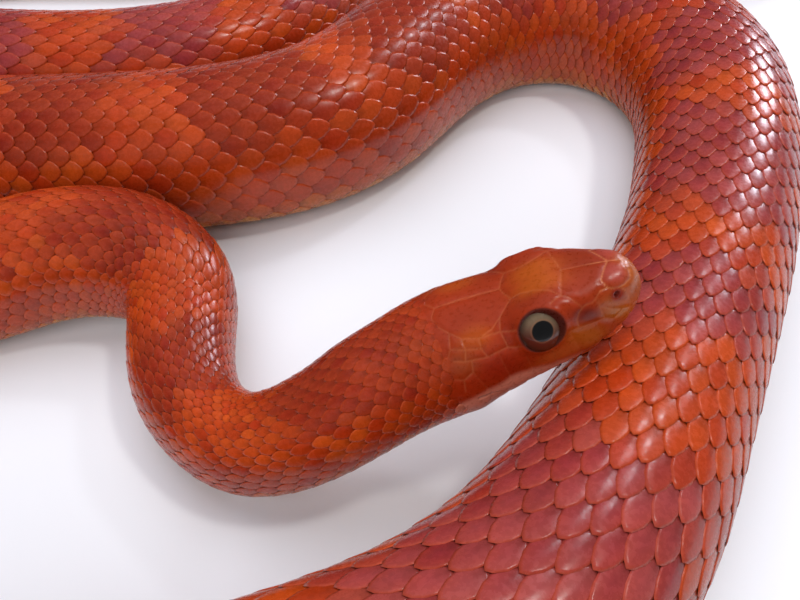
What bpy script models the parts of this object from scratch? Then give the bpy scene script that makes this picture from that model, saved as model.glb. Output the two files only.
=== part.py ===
"""Corn snake at life size, lying on a floor in loose coils with its head raised over its own body.

Metres, +Z up. The origin is on the floor, at the middle of the rectangle that the snake covers.
The head faces +X, and the front of the pose is towards -Y.
"""

import math

import bmesh
import bpy
import numpy as np

# Driving dimensions, in millimetres
MM = 0.001
GAP = 0.3
HEAD_LENGTH = 26.0
NECK_LENGTH = 42.0
TRUNK_NODES = 16
TAIL_NODES = 3
TAIL_LENGTH = 170.0
RING_SPACING = 5.8
BODY_SIDES = 20
HEAD_RING_SPACING = 0.8
PLAN_CENTRE = (-32.5, 22.3)

# The backbone seen from above, from the tip of the snout to the tip of the tail. The snake turns
# left and right in an S behind its head, loops back, swings round to pass under its own chin,
# and lies round the outside of its first loop with its tail behind.
BACKBONE = [
    (25.9, -21.3),
    (17.6, -22.3),
    (9.6, -23.3),
    (2.6, -25.3),
    (-3.4, -28.1),
    (-8.5, -30.0),
    (-13.6, -30.3),
    (-18.3, -29.3),
    (-23.0, -26.2),
    (-26.4, -21.6),
    (-28.3, -15.6),
    (-29.0, -10.4),
    (-30.2, -5.4),
    (-34.6, -1.3),
    (-41.0, 0.2),
    (-47.6, -0.2),
    (-54.5, -1.9),
    (-66.0, -6.0),
    (-80.0, -9.5),
    (-92.0, -4.0),
    (-95.5, 8.0),
    (-88.0, 18.8),
    (-75.0, 22.4),
    (-62.0, 22.6),
    (-50.0, 22.4),
    (-36.0, 22.7),
    (-23.5, 24.8),
    (-13.5, 29.0),
    (-6.3, 35.2),
    (0.5, 44.6),
    (9.0, 54.8),
    (21.0, 62.0),
    (34.5, 62.0),
    (46.0, 53.6),
    (51.2, 39.5),
    (49.4, 22.5),
    (43.4, 3.2),
    (35.8, -13.8),
    (29.2, -26.8),
    (22.8, -38.2),
    (13.0, -50.4),
    (0.0, -59.2),
    (-16.0, -65.0),
    (-48.0, -73.0),
    (-84.0, -77.0),
    (-118.0, -69.0),
    (-138.0, -46.0),
    (-144.5, -14.0),
    (-135.0, 18.0),
    (-112.0, 39.5),
    (-84.0, 45.8),
    (-57.0, 45.9),
    (-37.0, 50.8),
    (-21.0, 63.0),
    (-12.0, 78.0),
    (2.0, 92.0),
    (24.0, 100.0),
    (52.0, 101.0),
    (76.0, 101.0),
    (92.0, 110.0),
    (86.0, 124.0),
    (62.0, 128.0),
    (30.0, 125.0),
    (0.0, 117.0),
    (-25.0, 102.0),
    (-50.0, 92.5),
    (-76.0, 91.0),
    (-104.0, 85.0),
    (-130.0, 68.0),
    (-152.0, 45.0),
    (-163.0, 15.0),
]

# Rows of (distance along the backbone, value), joined by a smooth curve
FULL_WIDTH = [
    (24, 13.4),
    (36, 12.2),
    (50, 11.6),
    (60, 13.2),
    (69, 14.2),
    (77, 15.9),
    (85, 17.4),
    (95, 17.8),
    (115, 18.2),
    (150, 20.4),
    (200, 23.0),
    (232, 24.2),
    (265, 25.0),
    (310, 24.9),
    (350, 24.3),
    (372, 23.4),
    (391, 23.2),
    (406, 23.6),
    (420, 24.7),
    (436, 25.6),
    (460, 26.3),
    (560, 26.5),
    (680, 23.6),
    (757, 20.6),
    (800, 19.2),
    (860, 16.8),
    (930, 13.9),
    (1000, 11.3),
    (1070, 9.0),
    (1140, 6.2),
    (1190, 4.0),
    (1240, 1.9),
]
# How far the body is held above where it would lie on the floor
LIFT = [(0, 19.4), (12, 15.6), (24, 12.0), (30.5, 10.3), (36, 7.7), (41, 4.6), (46, 2.4), (52, 1.5)]
LIFT += [(60, 1.0), (69, 1.0), (74, 1.5), (80, 2.2), (87, 2.6), (94, 2.2), (101, 1.2), (116, 0.0)]
# The head is turned about its own length, so that its right side looks up a little
ROLL_DEGREES = [(0, 2.8), (26, 2.5), (48, 0.0)]

# Cross-sections of the head. Each row gives the distance behind the snout, half the width, the
# height above and the depth below the widest line, and how square the upper and lower halves are.
HEAD_SECTIONS = [
    (0.0, 2.1, 4.4, 1.2, 2.7, 2.15),
    (2.0, 3.15, 5.05, 2.0, 2.8, 2.15),
    (4.0, 4.3, 5.5, 2.9, 2.9, 2.15),
    (6.0, 5.1, 5.9, 3.65, 3.2, 2.15),
    (8.5, 5.8, 6.5, 4.1, 3.6, 2.15),
    (11.5, 6.2, 6.1, 5.1, 3.8, 2.2),
    (14.0, 6.55, 5.5, 6.05, 2.65, 2.25),
    (17.0, 7.0, 5.55, 6.55, 2.4, 2.35),
    (20.0, 7.2, 5.75, 6.75, 2.3, 2.5),
    (23.0, 7.0, 5.9, 6.85, 2.2, 2.5),
    (26.0, 6.6, 6.1, 6.7, 2.1, 2.6),
    (31.0, 6.4, 6.2, 6.2, 2.05, 2.7),
]
SNOUT_ROUNDING = 2.4
SNOUT_RINGS = (0.08, 0.3, 0.7)

# Cross-section of the body, like a loaf: taller than it is flat, with a flat belly
BODY_TALL = 0.97
BODY_SQUARE_TOP = 2.05
BODY_SQUARE_BELLY = 2.7
BELLY_CUT = 0.92

# Eyes
EYE_BEHIND_SNOUT = 10.3
EYE_RADIUS = 2.7
EYE_BULGE = 0.2
EYE_ANGLE = math.radians(54.0)
EYE_LOOK_ANGLE = math.radians(59.0)
EYE_FORWARD = 0.25

# Shields of the head, with grooves between them. Along the head run the middle line, the inner
# and the outer edge of the shields over the eyes, and the edges of the lips on either side of the
# mouth. Rows give the distance behind the snout and the distance from the middle line, or the
# height from the widest line.
GROOVE_DEPTH = 0.24
GROOVE_HALF_WIDTH = 0.3
MOUTH_DEPTH = 0.5
DEEPEST_CUT = 0.25
THROAT_START = 0.94 * math.pi
INNER_EDGE = [(0.0, 0.5), (2.8, 1.1), (7.5, 2.3), (12.4, 2.0), (16.0, 2.6), (21.0, 2.2), (26.0, 2.4)]
OUTER_EDGE = [(0.0, 1.0), (1.9, 2.3), (5.0, 3.3), (8.2, 4.4), (12.0, 4.9), (16.6, 5.2), (20.4, 4.2)]
OUTER_EDGE += [(26.0, 4.4)]
MOUTH_LINE = [(0.0, -0.5), (4.0, -1.0), (9.0, -1.6), (14.0, -2.1), (17.5, -1.8), (19.6, -1.0)]
MOUTH_LINE += [(26.0, -0.4)]
UPPER_LIP_HEIGHT = 2.1
LOWER_LIP_SHARE = 0.6
MOUTH_END = 19.6
# Where the grooves across the head lie on the middle line, the inner edge and the outer edge:
# behind the snout plate, the two pairs of shields on the snout, the long shield between the eyes
# and the last pair.
ACROSS = (1.2, 2.9, 7.3, 13.2, 21.4)
ACROSS_MIDDLE = (1.0, 2.8, 7.0, 14.6, 21.2)
ACROSS_INNER = (1.2, 3.0, 7.5, 12.7, 21.8)
ACROSS_OUTER = (1.9, 3.3, 8.2, 13.6, 20.6)
INNER_GROOVE = (7.3, 13.2)
LIP_GROOVES = (1.8, 3.9, 6.0, 8.2, 10.4, 12.6, 14.8, 17.1)
NOSTRIL_BEHIND_SNOUT = 3.0
NOSTRIL_ANGLE = math.radians(53.0)
NOSTRIL_RADIUS = 0.55


def smooth(rows, at, column=1):
    """A curve through the rows that never swings past them."""
    table = np.array(rows, float)
    x = table[:, 0]
    y = table[:, column]
    step = np.diff(x)
    slope = np.diff(y) / step
    tangent = np.zeros(len(x))
    for i in range(1, len(x) - 1):
        if slope[i - 1] * slope[i] > 0:
            before = 2 * step[i] + step[i - 1]
            after = step[i] + 2 * step[i - 1]
            tangent[i] = (before + after) / (before / slope[i - 1] + after / slope[i])
    at = np.clip(np.asarray(at, float), x[0], x[-1])
    i = np.clip(np.searchsorted(x, at, side="right") - 1, 0, len(x) - 2)
    t = (at - x[i]) / step[i]
    return (
        y[i] * (1 + 2 * t) * (1 - t) ** 2
        + y[i + 1] * t**2 * (3 - 2 * t)
        + step[i] * (tangent[i] * t * (1 - t) ** 2 - tangent[i + 1] * t**2 * (1 - t))
    )


def backbone_curve():
    """Points close together on the smoothest curve through BACKBONE, and their distances."""
    points = np.array(BACKBONE) - PLAN_CENTRE
    chord = np.linalg.norm(np.diff(points, axis=0), axis=1)
    place = np.concatenate([[0.0], np.cumsum(chord)])
    count = len(points)
    system = np.eye(count)
    bend = np.zeros_like(points)
    for i in range(1, count - 1):
        system[i, i - 1 : i + 2] = chord[i - 1], 2 * (chord[i - 1] + chord[i]), chord[i]
        bend[i] = 6 * (
            (points[i + 1] - points[i]) / chord[i] - (points[i] - points[i - 1]) / chord[i - 1]
        )
    second = np.linalg.solve(system, bend)
    at = np.linspace(0, place[-1], 4000)
    i = np.clip(np.searchsorted(place, at, side="right") - 1, 0, count - 2)
    after = ((at - place[i]) / chord[i])[:, None]
    before = 1 - after
    curve = (
        before * points[i]
        + after * points[i + 1]
        + ((before**3 - before) * second[i] + (after**3 - after) * second[i + 1])
        * (chord[i] ** 2)[:, None]
        / 6
    )
    distance = np.concatenate([[0.0], np.cumsum(np.linalg.norm(np.diff(curve, axis=0), axis=1))])
    return curve, distance


CURVE, DISTANCE = backbone_curve()
LENGTH = DISTANCE[-1]


def half_width(at):
    return smooth(FULL_WIDTH, at) / 2


def middle(at):
    """The point inside the body at a distance behind the snout."""
    rest = BELLY_CUT * BODY_TALL * half_width(at)
    return np.stack(
        [
            np.interp(at, DISTANCE, CURVE[:, 0]),
            np.interp(at, DISTANCE, CURVE[:, 1]),
            rest + smooth(LIFT, at),
        ],
        axis=-1,
    )


def frame(at):
    """The middle, and the directions of the tail, the snake's right and its back."""
    reach = 0.4
    ahead = middle(np.maximum(at - reach, 0))
    behind = middle(np.minimum(at + reach, LENGTH))
    back = behind - ahead
    back /= np.linalg.norm(back)
    right = np.cross([0.0, 0.0, 1.0], back)
    right /= np.linalg.norm(right)
    up = np.cross(back, right)
    roll = math.radians(smooth(ROLL_DEGREES, at))
    turned_right = math.cos(roll) * right + math.sin(roll) * up
    turned_up = math.cos(roll) * up - math.sin(roll) * right
    return middle(at), back, turned_right, turned_up


def superellipse(angle, width, above, below, square_top, square_low):
    """A closed outline by its angle from the top: how far across to one side, and how far up."""
    across = math.sin(angle)
    up = math.cos(angle)
    square = square_top if up > 0 else square_low
    size = (abs(across) ** square + abs(up) ** square) ** (-1 / square)
    height = above * up * size if up > 0 else below * max(up * size, -BELLY_CUT)
    return width * across * size, height


def rounding(at):
    """How large the head is at a distance behind the snout, as its tip closes."""
    return math.sqrt(1 - max(1 - at / SNOUT_ROUNDING, 0.0) ** 2)


def outline(at, angle):
    """The outline of the snake across its backbone: the head's sections, then the body's loaf."""
    if at > HEAD_SECTIONS[-1][0]:
        width = float(half_width(at))
        tall = BODY_TALL * width
        return superellipse(angle, width, tall, tall, BODY_SQUARE_TOP, BODY_SQUARE_BELLY)
    width, above, below, *squares = [
        float(smooth(HEAD_SECTIONS, at, column)) for column in range(1, 6)
    ]
    nose = rounding(at)
    return superellipse(angle, width * nose, above * nose, below * nose, *squares)


def place(at, across, height):
    centre, _, right, up = frame(at)
    return (centre + right * across + up * height) * MM


def angle_where(at, column, value, low, high):
    """The angle between low and high at which the outline has that width or height."""
    rising = outline(at, high)[column] > outline(at, low)[column]
    for _ in range(22):
        half = (low + high) / 2
        if (outline(at, half)[column] < value) == rising:
            low = half
        else:
            high = half
    return (low + high) / 2


def lip_lines(at):
    """The heights of the upper lip's upper edge, the mouth and the lower lip's lower edge."""
    mouth = float(smooth(MOUTH_LINE, at)) * rounding(at)
    throat = outline(at, math.pi)[1]
    return (
        mouth + UPPER_LIP_HEIGHT * rounding(at),
        mouth,
        mouth + LOWER_LIP_SHARE * (throat - mouth),
    )


def head_rows(at):
    """The rows of one side at a distance behind the snout, from the top to the throat.

    Each is an angle, what lies there, and whether it is on the crown. A row runs along each
    groove, with one close on either side of it, and plain rows fill the space between.
    """
    beside = min(at / 4, 1) * GROOVE_HALF_WIDTH / HEAD_SECTIONS[5][1]
    quarter = math.pi / 2
    inner = angle_where(at, 0, rounding(at) * smooth(INNER_EDGE, at), 0.0, quarter)
    outer = angle_where(at, 0, rounding(at) * smooth(OUTER_EDGE, at), 0.0, quarter)
    lines = [("middle", 0.0, 1), ("inner", inner, 1), ("outer", outer, 4)]
    for name, height, fill in zip(("lip", "mouth", "lip"), lip_lines(at), (1, 1, 4)):
        lines.append((name, angle_where(at, 1, height, outer, THROAT_START), fill))
    following = [angle for _, angle, _ in lines[1:]] + [math.pi + beside]
    rows = []
    for (name, angle, fill), end in zip(lines, following):
        if angle > 0:
            rows.append((angle - beside, "plain"))
        rows.append((angle, name))
        step = (end - angle - 2 * beside) / (fill + 1)
        rows += [(angle + beside + i * step, "plain") for i in range(fill + 1)]
    rows.append((math.pi, "plain"))
    return [(angle, name, angle <= outer) for angle, name in rows]


def along_crown(at, across):
    """How far back a point of a ring lies, so that rings follow the grooves across the crown."""
    ends = (0.0, *ACROSS, HEAD_LENGTH)
    lines = [
        np.interp(at, ends, (0.0, *line, HEAD_LENGTH))
        for line in (ACROSS_MIDDLE, ACROSS_INNER, ACROSS_OUTER)
    ]
    inner = float(smooth(INNER_EDGE, at))
    outer = float(smooth(OUTER_EDGE, at))
    return float(np.interp(across, (0.0, inner, outer, 1.35 * outer), (*lines, at)))


def depth_of_cut(at, height, row, on_crown, ring):
    """How deep the skin is cut at a point, by the grooves between shields and by the mouth."""
    along = {
        "middle": ACROSS[0] <= at <= ACROSS[-1],
        "inner": INNER_GROOVE[0] <= at <= INNER_GROOVE[1],
        "outer": ACROSS[0] <= at <= ACROSS[-1],
        "lip": at <= MOUTH_END,
    }
    if row == "mouth" and at <= MOUTH_END:
        return MOUTH_DEPTH
    if along.get(row) or (ring == "crown" and on_crown):
        return GROOVE_DEPTH
    upper, _, lower = lip_lines(at)
    if ring == "lips" and lower < height < upper:
        return GROOVE_DEPTH
    return 0.0


def head_ring(at, ring):
    """One ring of the head, with the grooves between its shields cut into it."""
    points = []
    for angle, row, on_crown in head_rows(at):
        across, height = outline(at, angle)
        back = along_crown(at, across) if height > 0 else at
        across, height = outline(back, angle)
        cut = depth_of_cut(at, height, row, on_crown, ring)
        size = max(math.hypot(across, height), MM)
        keep = 1 - min(cut / size, DEEPEST_CUT)
        points.append((back, across * keep, height * keep))
    right = [place(*point) for point in points]
    left = [place(back, -across, height) for back, across, height in points[1:-1]]
    return right + list(reversed(left))


def head_stations():
    """Where the rings of the head lie, and which grooves each one is in."""
    rings = [(at, "crown") for at in ACROSS] + [(at, "lips") for at in LIP_GROOVES]
    for at, _ in list(rings):
        rings += [(at - GROOVE_HALF_WIDTH, "plain"), (at + GROOVE_HALF_WIDTH, "plain")]
    rings += [(at, "plain") for at in SNOUT_RINGS]
    for at in stations(SNOUT_RINGS[-1], HEAD_LENGTH - GAP / 2, HEAD_RING_SPACING):
        if min(abs(at - other) for other, _ in rings) > HEAD_RING_SPACING / 2:
            rings.append((at, "plain"))
    rings.append((HEAD_LENGTH - GAP / 2, "plain"))
    rings.sort()
    apart = [rings[0]]
    for ring in rings[1:]:
        if ring[0] - apart[-1][0] > GROOVE_HALF_WIDTH / 2:
            apart.append(ring)
        elif apart[-1][1] == "plain":
            apart[-1] = ring
    return apart


def body_ring(at):
    angles = [2 * math.pi * (k + 0.5) / BODY_SIDES for k in range(BODY_SIDES)]
    return [place(at, *outline(at, angle)) for angle in angles]


def loft(name, rings, collection, material):
    """A closed solid through rings of as many points, with a flat fan across each end."""
    mesh = bpy.data.meshes.new(name)
    shape = bmesh.new()
    rows = [[shape.verts.new(point) for point in ring] for ring in rings]
    sides = len(rows[0])
    for near, far in zip(rows, rows[1:]):
        for k in range(sides):
            nxt = (k + 1) % sides
            shape.faces.new((near[k], far[k], far[nxt], near[nxt]))
    shape.faces.new(rows[0])
    shape.faces.new(list(reversed(rows[-1])))
    bmesh.ops.recalc_face_normals(shape, faces=shape.faces)
    bmesh.ops.triangulate(shape, faces=shape.faces)
    shape.to_mesh(mesh)
    shape.free()
    mesh.shade_smooth()
    mesh.set_sharp_from_angle(angle=math.radians(50))
    mesh.materials.append(material)
    node = bpy.data.objects.new(name, mesh)
    collection.objects.link(node)
    return node


def finish(name, colour, roughness):
    material = bpy.data.materials.new(name)
    material.use_nodes = True
    shader = material.node_tree.nodes["Principled BSDF"]
    shader.inputs["Base Color"].default_value = (*colour, 1)
    shader.inputs["Roughness"].default_value = roughness
    shader.inputs["Metallic"].default_value = 0.0
    return material


def stations(start, end, spacing):
    count = max(int(round((end - start) / spacing)), 2)
    return [start + (end - start) * i / count for i in range(count + 1)]


def eye_middle(side):
    """The middle of the eyeball, for side 1 on the right and -1 on the left."""
    across, height = outline(EYE_BEHIND_SNOUT, EYE_ANGLE)
    surface = place(EYE_BEHIND_SNOUT, side * across, height)
    _, back, right, up = frame(EYE_BEHIND_SNOUT)
    out = side * right * math.sin(EYE_LOOK_ANGLE) + up * math.cos(EYE_LOOK_ANGLE)
    out -= EYE_FORWARD * back
    out /= np.linalg.norm(out)
    return surface - out * (EYE_RADIUS - EYE_BULGE) * MM


def ball(name, centre, radius, collection, material=None):
    mesh = bpy.data.meshes.new(name)
    shape = bmesh.new()
    bmesh.ops.create_uvsphere(shape, u_segments=20, v_segments=12, radius=radius * MM)
    bmesh.ops.translate(shape, vec=centre, verts=shape.verts)
    shape.to_mesh(mesh)
    shape.free()
    mesh.shade_smooth()
    if material:
        mesh.materials.append(material)
    node = bpy.data.objects.new(name, mesh)
    collection.objects.link(node)
    return node


def hollow(head, name, centre, radius, cutters):
    """Cuts a round hollow into the head."""
    cutter = ball(name, centre, radius, cutters)
    cutter.hide_render = True
    cutter.display_type = "WIRE"
    cut = head.modifiers.new(name, "BOOLEAN")
    cut.operation = "DIFFERENCE"
    cut.object = cutter


def make_head(snake, cutters, skin, eye):
    """The head with its shields, its mouth line and nostrils, and a ball in each eye socket."""
    rings = [head_ring(at, ring) for at, ring in head_stations()]
    head = loft("head", rings, snake, skin)
    across, height = outline(NOSTRIL_BEHIND_SNOUT, NOSTRIL_ANGLE)
    for side, name in ((1, "right"), (-1, "left")):
        centre = eye_middle(side)
        hollow(head, "socket_" + name, centre, EYE_RADIUS + GAP, cutters)
        ball("eye_" + name, centre, EYE_RADIUS, snake, eye)
        nostril = place(NOSTRIL_BEHIND_SNOUT, side * across, height)
        hollow(head, "nostril_" + name, nostril, NOSTRIL_RADIUS, cutters)


def make_body(snake, skin):
    """The neck, the trunk and the tail, parted by thin straight cuts."""
    tail_start = LENGTH - TAIL_LENGTH
    trunk_start = HEAD_LENGTH + NECK_LENGTH
    cuts = [("neck", HEAD_LENGTH, trunk_start)]
    trunk = stations(trunk_start, tail_start, (tail_start - trunk_start) / TRUNK_NODES)
    tail = stations(tail_start, LENGTH, TAIL_LENGTH / TAIL_NODES)
    for number, (start, end) in enumerate(zip(trunk, trunk[1:]), 1):
        cuts.append((f"trunk_{number:02d}", start, end))
    for number, (start, end) in enumerate(zip(tail, tail[1:]), 1):
        cuts.append((f"tail_{number}", start, end))
    for name, start, end in cuts:
        last = end if end == LENGTH else end - GAP / 2
        rings = [body_ring(at) for at in stations(start + GAP / 2, last, RING_SPACING)]
        loft(name, rings, snake, skin)


def main():
    for thing in list(bpy.data.objects):
        bpy.data.objects.remove(thing, do_unlink=True)
    snake = bpy.data.collections.new("corn_snake")
    cutters = bpy.data.collections.new("cutters")
    for group in (snake, cutters):
        bpy.context.scene.collection.children.link(group)
    scales = finish("orange_red_scales", (0.42, 0.06, 0.02), 0.42)
    head_shields = finish("brown_orange_shields", (0.46, 0.09, 0.025), 0.38)
    eye = finish("eye_spectacle", (0.05, 0.03, 0.02), 0.08)
    make_head(snake, cutters, head_shields, eye)
    make_body(snake, scales)


main()
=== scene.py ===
"""Looks of a corn snake at life size, lying in loose coils with its head raised over its own body."""

import math

import bpy
import numpy as np
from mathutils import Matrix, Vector
from mathutils.kdtree import KDTree


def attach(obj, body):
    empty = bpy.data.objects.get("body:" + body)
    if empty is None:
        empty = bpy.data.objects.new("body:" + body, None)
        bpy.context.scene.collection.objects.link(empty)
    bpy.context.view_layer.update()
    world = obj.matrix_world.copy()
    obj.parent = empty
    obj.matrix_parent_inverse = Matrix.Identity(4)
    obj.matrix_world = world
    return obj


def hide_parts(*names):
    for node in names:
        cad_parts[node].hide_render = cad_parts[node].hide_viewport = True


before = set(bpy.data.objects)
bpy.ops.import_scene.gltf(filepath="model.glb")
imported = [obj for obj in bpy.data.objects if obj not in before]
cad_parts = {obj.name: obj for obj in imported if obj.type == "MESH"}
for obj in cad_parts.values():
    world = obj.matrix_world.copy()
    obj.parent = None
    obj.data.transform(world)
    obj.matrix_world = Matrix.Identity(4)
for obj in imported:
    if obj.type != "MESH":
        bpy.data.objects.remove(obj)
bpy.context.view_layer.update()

# The skin. One thin hide covers the whole animal without a seam, from the snout to the tip of the
# tail. On the head it carries stiff keratin shields with fine seams between them. On the body it is
# soft and lies under the scales, dark red between those of the neck and violet-grey between the rest.
MM = 0.001
# The middle of the body seen from above, from the snout to the tail in millimetres, and the middle of
# the rectangle that the animal covers
BACKBONE = [
    (25.9, -21.3), (17.6, -22.3), (9.6, -23.3), (2.6, -25.3), (-3.4, -28.1), (-8.5, -30.0),
    (-13.6, -30.3), (-18.3, -29.3), (-23.0, -26.2), (-26.4, -21.6), (-28.3, -15.6), (-29.0, -10.4),
    (-30.2, -5.4), (-34.6, -1.3), (-41.0, 0.2), (-47.6, -0.2), (-54.5, -1.9), (-66.0, -6.0),
    (-80.0, -9.5), (-92.0, -4.0), (-95.5, 8.0), (-88.0, 18.8), (-75.0, 22.4), (-62.0, 22.6),
    (-50.0, 22.4), (-36.0, 22.7), (-23.5, 24.8), (-13.5, 29.0), (-6.3, 35.2), (0.5, 44.6),
    (9.0, 54.8), (21.0, 62.0), (34.5, 62.0), (46.0, 53.6), (51.2, 39.5), (49.4, 22.5),
    (43.4, 3.2), (35.8, -13.8), (29.2, -26.8), (22.8, -38.2), (13.0, -50.4), (0.0, -59.2),
    (-16.0, -65.0), (-48.0, -73.0), (-84.0, -77.0), (-118.0, -69.0), (-138.0, -46.0),
    (-144.5, -14.0), (-135.0, 18.0), (-112.0, 39.5), (-84.0, 45.8), (-57.0, 45.9), (-37.0, 50.8),
    (-21.0, 63.0), (-12.0, 78.0), (2.0, 92.0), (24.0, 100.0), (52.0, 101.0), (76.0, 101.0),
    (92.0, 110.0), (86.0, 124.0), (62.0, 128.0), (30.0, 125.0), (0.0, 117.0), (-25.0, 102.0),
    (-50.0, 92.5), (-76.0, 91.0), (-104.0, 85.0), (-130.0, 68.0), (-152.0, 45.0), (-163.0, 15.0),
]
PLAN_CENTRE = (-32.5, 22.3)
# The width of the body, its height over the floor and its roll, as in the solids. Each row has the
# distance behind the snout in millimetres first.
FULL_WIDTH = [
    (24, 13.4), (36, 12.2), (50, 11.6), (60, 13.2), (69, 14.2), (77, 15.9), (85, 17.4), (95, 17.8),
    (115, 18.2), (150, 20.4), (200, 23.0), (232, 24.2), (265, 25.0), (310, 24.9), (350, 24.3),
    (372, 23.4), (391, 23.2), (406, 23.6), (420, 24.7), (436, 25.6), (460, 26.3), (560, 26.5),
    (680, 23.6), (757, 20.6), (800, 19.2), (860, 16.8), (930, 13.9), (1000, 11.3), (1070, 9.0),
    (1140, 6.2), (1190, 4.0), (1240, 1.9),
]
LIFT = [
    (0, 19.4), (12, 15.6), (24, 12.0), (30.5, 10.3), (36, 7.7), (41, 4.6), (46, 2.4), (52, 1.5),
    (60, 1.0), (69, 1.0), (74, 1.5), (80, 2.2), (87, 2.6), (94, 2.2), (101, 1.2), (116, 0.0),
]
ROLL_DEGREES = [(0, 2.8), (26, 2.5), (48, 0.0)]
# Distance behind the snout, half width, height above and depth below the widest line, and how square
# the section is above and below it
HEAD_SECTIONS = [
    (0.0, 2.1, 4.4, 1.2, 2.7, 2.15),
    (2.0, 3.15, 5.05, 2.0, 2.8, 2.15),
    (4.0, 4.3, 5.5, 2.9, 2.9, 2.15),
    (6.0, 5.1, 5.9, 3.65, 3.2, 2.15),
    (8.5, 5.8, 6.5, 4.1, 3.6, 2.15),
    (11.5, 6.2, 6.1, 5.1, 3.8, 2.2),
    (14.0, 6.55, 5.5, 6.05, 2.65, 2.25),
    (17.0, 7.0, 5.55, 6.55, 2.4, 2.35),
    (20.0, 7.2, 5.75, 6.75, 2.3, 2.5),
    (23.0, 7.0, 5.9, 6.85, 2.2, 2.5),
    (26.0, 6.6, 6.1, 6.7, 2.1, 2.6),
    (31.0, 6.4, 6.2, 6.2, 2.05, 2.7),
]
SNOUT_ROUNDING = 2.4
BODY_TALL = 0.97
BODY_SQUARE_TOP = 2.05
BODY_SQUARE_BELLY = 2.7
BELLY_CUT = 0.92
MOUTH_LINE = [
    (0.0, -0.5), (3.5, -1.15), (5.3, -1.5), (7.5, -1.9), (10.0, -2.1), (12.5, -2.4), (15.0, -2.2),
    (17.9, -1.35), (19.6, -0.9), (26.0, -0.4),
]
MOUTH_END = 19.6


def smooth(rows, at, column=1):
    """A curve through the rows that never swings past them."""
    table = np.array(rows, float)
    x = table[:, 0]
    y = table[:, column]
    step = np.diff(x)
    slope = np.diff(y) / step
    tangent = np.zeros(len(x))
    for i in range(1, len(x) - 1):
        if slope[i - 1] * slope[i] > 0:
            before = 2 * step[i] + step[i - 1]
            after = step[i] + 2 * step[i - 1]
            tangent[i] = (before + after) / (before / slope[i - 1] + after / slope[i])
    at = np.clip(np.asarray(at, float), x[0], x[-1])
    i = np.clip(np.searchsorted(x, at, side="right") - 1, 0, len(x) - 2)
    t = (at - x[i]) / step[i]
    return (
        y[i] * (1 + 2 * t) * (1 - t) ** 2
        + y[i + 1] * t**2 * (3 - 2 * t)
        + step[i] * (tangent[i] * t * (1 - t) ** 2 - tangent[i + 1] * t**2 * (1 - t))
    )


def backbone_curve(samples=4000):
    """Points close together on the smoothest curve through BACKBONE, and their distances."""
    points = np.array(BACKBONE) - PLAN_CENTRE
    chord = np.linalg.norm(np.diff(points, axis=0), axis=1)
    place = np.concatenate([[0.0], np.cumsum(chord)])
    count = len(points)
    system = np.eye(count)
    bend = np.zeros_like(points)
    for i in range(1, count - 1):
        system[i, i - 1 : i + 2] = chord[i - 1], 2 * (chord[i - 1] + chord[i]), chord[i]
        bend[i] = 6 * (
            (points[i + 1] - points[i]) / chord[i] - (points[i] - points[i - 1]) / chord[i - 1]
        )
    second = np.linalg.solve(system, bend)
    at = np.linspace(0, place[-1], samples)
    i = np.clip(np.searchsorted(place, at, side="right") - 1, 0, count - 2)
    after = ((at - place[i]) / chord[i])[:, None]
    before = 1 - after
    curve = (
        before * points[i]
        + after * points[i + 1]
        + ((before**3 - before) * second[i] + (after**3 - after) * second[i + 1])
        * (chord[i] ** 2)[:, None]
        / 6
    )
    distance = np.concatenate([[0.0], np.cumsum(np.linalg.norm(np.diff(curve, axis=0), axis=1))])
    return curve, distance


def half_width(at):
    return smooth(FULL_WIDTH, at) / 2


def unit(vectors):
    """The same directions with a length of one."""
    return vectors / np.maximum(np.linalg.norm(vectors, axis=-1), 1e-9)[..., None]


def spine_tables(spacing=0.1, reach=0.4):
    """The middle of the body and its directions to the tail, the right and the back, by distance."""
    curve, distance = backbone_curve()
    length = distance[-1]
    steps = np.linspace(0, length, int(length / spacing))

    def middle(at):
        plan = [np.interp(at, distance, curve[:, i]) for i in (0, 1)]
        return np.stack([*plan, BELLY_CUT * BODY_TALL * half_width(at) + smooth(LIFT, at)], -1)

    back = unit(middle(np.minimum(steps + reach, length)) - middle(np.maximum(steps - reach, 0)))
    right = unit(np.cross([0.0, 0.0, 1.0], back))
    up = np.cross(back, right)
    roll = np.radians(smooth(ROLL_DEGREES, steps))[:, None]
    turned_right = np.cos(roll) * right + np.sin(roll) * up
    turned_up = np.cos(roll) * up - np.sin(roll) * right
    return length, steps, middle(steps), back, turned_right, turned_up


LENGTH, STEPS, MIDDLE, BACK, RIGHT, UP = spine_tables()


def along_spine(table, at):
    return np.stack([np.interp(at, STEPS, table[:, i]) for i in range(3)], -1)


def rounding(at):
    """The share of its full size that the snout has at a distance behind its tip."""
    return np.sqrt(1 - np.maximum(1 - at / SNOUT_ROUNDING, 0) ** 2)


def outline(at, angle):
    """How far across to the right and how far up the skin lies, by the angle from the top."""
    at, angle = np.broadcast_arrays(np.asarray(at, float), np.asarray(angle, float))
    on_head = at <= HEAD_SECTIONS[-1][0]
    nose = rounding(at)
    body = half_width(at)
    width, above, below, square_top, square_low = [
        np.where(on_head, smooth(HEAD_SECTIONS, at, column) * scale, plain)
        for column, scale, plain in (
            (1, nose, body),
            (2, nose, BODY_TALL * body),
            (3, nose, BODY_TALL * body),
            (4, 1.0, BODY_SQUARE_TOP),
            (5, 1.0, BODY_SQUARE_BELLY),
        )
    ]
    across = np.sin(angle)
    up = np.cos(angle)
    square = np.where(up > 0, square_top, square_low)
    size = (np.abs(across) ** square + np.abs(up) ** square) ** (-1 / square)
    height = np.where(up > 0, above * up * size, below * np.maximum(up * size, -BELLY_CUT))
    return width * across * size, height


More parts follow.
